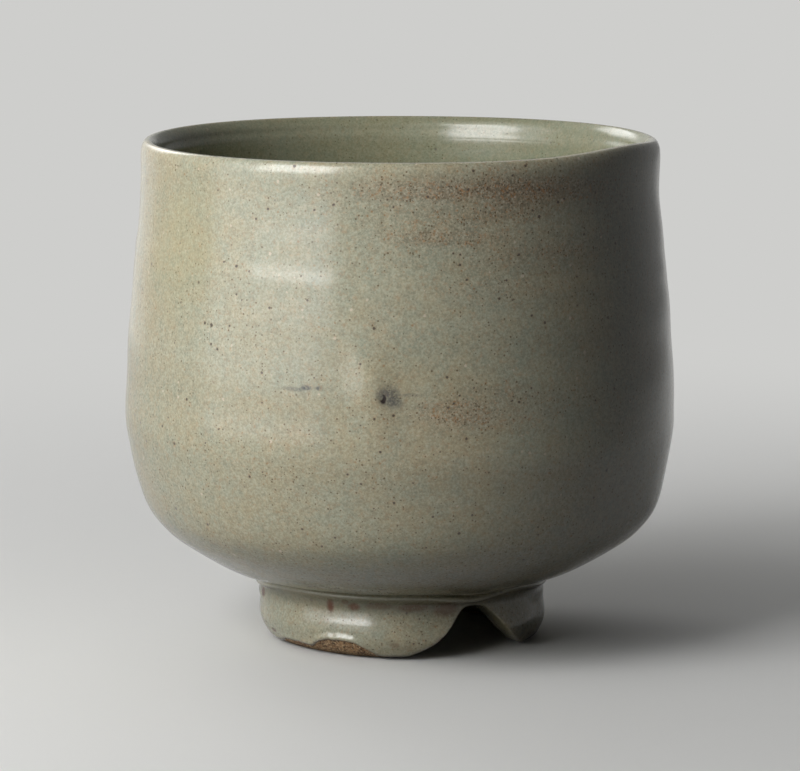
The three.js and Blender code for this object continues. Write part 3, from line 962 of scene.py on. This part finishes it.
# The whole liner takes half of the inside colour: a greener glaze and painted shade inside the bowl
liner.surface(Base_Color=liner.layers(colour, ((0.5, INSIDE_TINT_AND_SHADE), (pool * 0.5, DEEP_GREEN))))
liner_coat.data.materials.append(liner.material)

foot, colour = celadon("foot_celadon", freckles=0.05)
# On the collar's roll, a paler band of painted light, partly glaze stretched thin over the edge
pooled_and_shaded, thin, stretched_and_lit = (foot.attribute(name) for name in ("pooled_and_shaded", "thin", "stretched_and_lit"))
# Under the collar, a darker band of painted shade, partly glaze pooled in the waist
colour = foot.layers(colour, ((pooled_and_shaded * 0.6, POOLED_AND_SHADED), (stretched_and_lit * 0.5, PALE)))
broken = foot.noise(1.3, 3, rough=0.7).step(0.25, 0.47)
for centre, size, strength in FOOT_RUST:
    colour = foot.mix(foot.blot(centre, size, 1.2, 0.5) * broken * strength, colour, BARK)
foot.surface(Base_Color=foot.mix(thin * 0.75, colour, THIN_EDGE))
foot_coat.data.materials.append(foot.material)
print("celadon on", [o.name for o in (outer_coat, liner_coat, foot_coat)])

# %% [markdown]
# ## Bare stoneware
#
# Where the glaze was wiped off the clay is rough and brown, with pale grains of sand and darker iron. The
# coarsest grains are in the foot's mesh. The finer ones would take millions of faces, so they are noise and
# bump.

# %% The clay
SAND = linear(220, 194, 154)
PIT = linear(48, 32, 24)


def stoneware(name, brown, dark):
    """Brown clay in clouds, under pale grains of sand and dark pits."""
    recipe = Recipe(name)
    cloud = recipe.noise(0.3, 5, rough=0.7)
    grain = recipe.noise(2.2, 4, rough=0.7)
    pits, _ = recipe.specks(0.62, 0.9, 0.34, 0.5)
    ground = recipe.mix(cloud.step(0.35, 0.68), dark, brown)
    colour = recipe.layers(ground, ((grain.step(0.47, 0.6) * 0.85, SAND), (pits * 0.7, PIT)))
    height = grain + cloud * 0.6 - pits * 0.6
    recipe.surface(Base_Color=colour, Normal=recipe.bump(height, 0.9, 0.0004), Roughness=0.78 + grain * 0.2)
    return recipe


bare = stoneware("bare_stoneware", brown=linear(176, 138, 98), dark=linear(118, 86, 56))
body_clay = stoneware("body_stoneware", brown=linear(126, 92, 68), dark=linear(92, 64, 48))
clay_ring.data.materials.append(bare.material)
finishes = {
    "outer_glaze": wall.material,
    "liner_glaze": liner.material,
    "foot_glaze": foot.material,
    "foot_ring": bare.material,
    "thrown_bowl": body_clay.material,
}
for name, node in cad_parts.items():
    if not node.data.materials:
        node.data.materials.append(finishes[name])
    for slot in node.material_slots:
        slot.material = finishes[name]
print("finishes on the solids:", {name: finish.name for name, finish in finishes.items()})

# %% [markdown]
# ## The floor
#
# A pale paper floor curves up into a round backdrop, as a studio's paper roll does, so no horizon shows. It
# shades itself only near the bowl, and its right wing, outside the picture, is greyer. It looks pale to the
# camera and in reflections, and sends less light back up at the bowl, which keeps the underside of the bowl
# dark.

# %% Floor and backdrop
FLOOR_MIDDLE, FLOOR_RADIUS, SWEEP, WALL_TOP = 0.3, 2.4, 0.8, 4.0  # in metres
FLOOR_STEPS, SWEEP_STEPS = 96, 24
bend = np.linspace(0, math.pi / 2, SWEEP_STEPS)
sweep_radius = np.concatenate([[FLOOR_MIDDLE], FLOOR_RADIUS + SWEEP * np.sin(bend), [FLOOR_RADIUS + SWEEP]])
sweep_height = np.concatenate([[0.0], SWEEP * (1 - np.cos(bend)), [WALL_TOP]])
round_turn = np.linspace(0, 2 * math.pi, FLOOR_STEPS, endpoint=False)
around = np.stack([np.sin(round_turn), -np.cos(round_turn), np.zeros(FLOOR_STEPS)], axis=-1)
floor_places = sweep_radius[:, None, None] * around + sweep_height[:, None, None] * np.array((0, 0, 1))
index = np.arange(len(sweep_radius) * FLOOR_STEPS).reshape(-1, FLOOR_STEPS)
following = np.roll(index, -1, axis=1)
quads = np.stack([index[1:], following[1:], following[:-1], index[:-1]], axis=-1).reshape(-1, 4)
floor_mesh = bpy.data.meshes.new("floor")
floor_mesh.from_pydata(floor_places.reshape(-1, 3).tolist(), [], [*quads.tolist(), index[0].tolist()])
floor_mesh.shade_smooth()
floor = bpy.data.objects.new("floor", floor_mesh)
bpy.context.scene.collection.objects.link(floor)
print("floor", len(floor_mesh.polygons), "faces")

# %% Paper
PAPER, PAPER_TO_BOWL = linear(226, 226, 224), linear(98, 98, 97)
BACKDROP, RIGHT_WING = linear(206, 206, 204), linear(150, 150, 149)
paper = Recipe("paper")
paper.surface(Base_Color=PAPER, Roughness=0.9)
to_right = paper.vector("DOT_PRODUCT", paper.place, (1, -0.11, 0)).step(110, 450)
tone = paper.mix(to_right, BACKDROP, RIGHT_WING)
backdrop = paper.node("ShaderNodeEmission", {}, {"Color": tone, "Strength": 1.0})
shaded = paper.node("ShaderNodeBsdfDiffuse", {}, {"Color": PAPER_TO_BOWL})
away = paper.vector("LENGTH", paper.vector("MULTIPLY", paper.place, (1, 1, 0))).step(40, 420)
camera_ray = paper.node("ShaderNodeLightPath", output="Is Camera Ray")
seen = camera_ray + camera_ray.other("Is Glossy Ray") + camera_ray.other("Is Transmission Ray")
lit = Wire(paper, paper.shader.outputs["BSDF"])
pale = paper.node("ShaderNodeMixShader", {}, {0: away, 1: lit, 2: backdrop})
shown = paper.node("ShaderNodeMixShader", {}, {0: seen, 1: shaded, 2: pale})
paper.put(paper.tree.nodes["Material Output"].inputs["Surface"], shown)
floor_mesh.materials.append(paper.material)
print("paper on the floor")

# %% [markdown]
# ## Light
#
# Glaze is judged by its reflections, so each lamp is a soft box whose brightness has a shape. Two tall ones
# stand at the front left, the second much brighter towards its top, which draws the light stripe on the
# wall and the glints on the ridge and the lip. One behind on the left lights the rim, a weak one right
# behind lights the back without a reflection, and a little light comes from all round.

# %% Lights
LAMP_DISTANCE = 0.5  # from the bowl's axis, in metres
SOFT_SIDE = 0.13  # the part of a soft box's width over which each of its sides fades out
SKY, SKY_STRENGTH = linear(235, 237, 240), 0.09


def soft_box(name, turn_degrees, width, low, high, dim, bright, ramp=(0.04, 0.4), shiny=True):
    """A flat lamp that faces the axis, placed by its turn from the front.

    Its radiance is dim at its low edge and bright at its high one, with a smooth change over the ramp's
    part of it, and falls to nothing at its sides. One that isn't shiny leaves no reflection in the glaze.
    """
    lamp = bpy.data.lights.new(name, "AREA")
    lamp.shape = "RECTANGLE"
    lamp.size = width
    lamp.size_y = high - low
    lamp.energy = math.pi * width * (high - low)
    lamp.use_nodes = True
    glow = Nodes(lamp.node_tree)
    place = glow.node("ShaderNodeNewGeometry", output="Parametric")
    across = glow.node("ShaderNodeSeparateXYZ", {}, {0: place})
    upwards = across.other("Y").step(*ramp, dim, bright)
    sideways = across.math("PINGPONG", across, 0.5).step(0, SOFT_SIDE)
    glow.put(lamp.node_tree.nodes["Emission"].inputs["Strength"], upwards * sideways)
    holder = bpy.data.objects.new(name, lamp)
    angle = math.radians(turn_degrees)
    holder.location = (LAMP_DISTANCE * math.sin(angle), -LAMP_DISTANCE * math.cos(angle), (low + high) / 2)
    holder.rotation_euler = (math.pi / 2, 0, angle)
    holder.visible_camera = False
    holder.visible_glossy = shiny
    bpy.context.scene.collection.objects.link(holder)


soft_box("key_box", -56.5, 0.62, 0.005, 1.0, dim=1.42, bright=1.5)
soft_box("window_box", -46.5, 0.37, 0.03, 0.58, dim=0.1, bright=6.8, ramp=(0.1, 0.36))
soft_box("rim_box", -146, 0.3, 0.005, 0.44, dim=0.3, bright=4.0, ramp=(0.35, 0.75))
soft_box("back_box", 180, 0.4, 0.02, 0.6, dim=0.8, bright=1.0, shiny=False)
world = bpy.data.worlds.new("studio")
bpy.context.scene.world = world
world.use_nodes = True
sky = world.node_tree.nodes["Background"].inputs
sky["Color"].default_value = (*SKY, 1)
sky["Strength"].default_value = SKY_STRENGTH

# %% [markdown]
# ## Camera
#
# The two ellipses of the lip and the foot give away where a camera stood. They fit one 850 mm away that
# looks down about 9 degrees. A long lens at that distance frames the bowl as closely as the photograph
# does.

# %% Camera
CAMERA_DISTANCE, CAMERA_HEIGHT = 0.850, 0.1859  # in metres
CAMERA_DOWN = math.radians(8.9)
CAMERA_LENS = 184.35  # in millimetres, on a sensor 36 mm wide
camera_data = bpy.data.cameras.new("camera")
camera_data.sensor_width = 36
camera_data.lens = CAMERA_LENS
camera_data.clip_start = 0.05
camera = bpy.data.objects.new("camera", camera_data)
camera.location = (0, -CAMERA_DISTANCE, CAMERA_HEIGHT)
camera.rotation_euler = (math.pi / 2 - CAMERA_DOWN, 0, 0)
bpy.context.scene.collection.objects.link(camera)
bpy.context.scene.camera = camera
bpy.context.scene.view_settings.view_transform = "Standard"
print("camera", [round(c, 3) for c in camera.location])
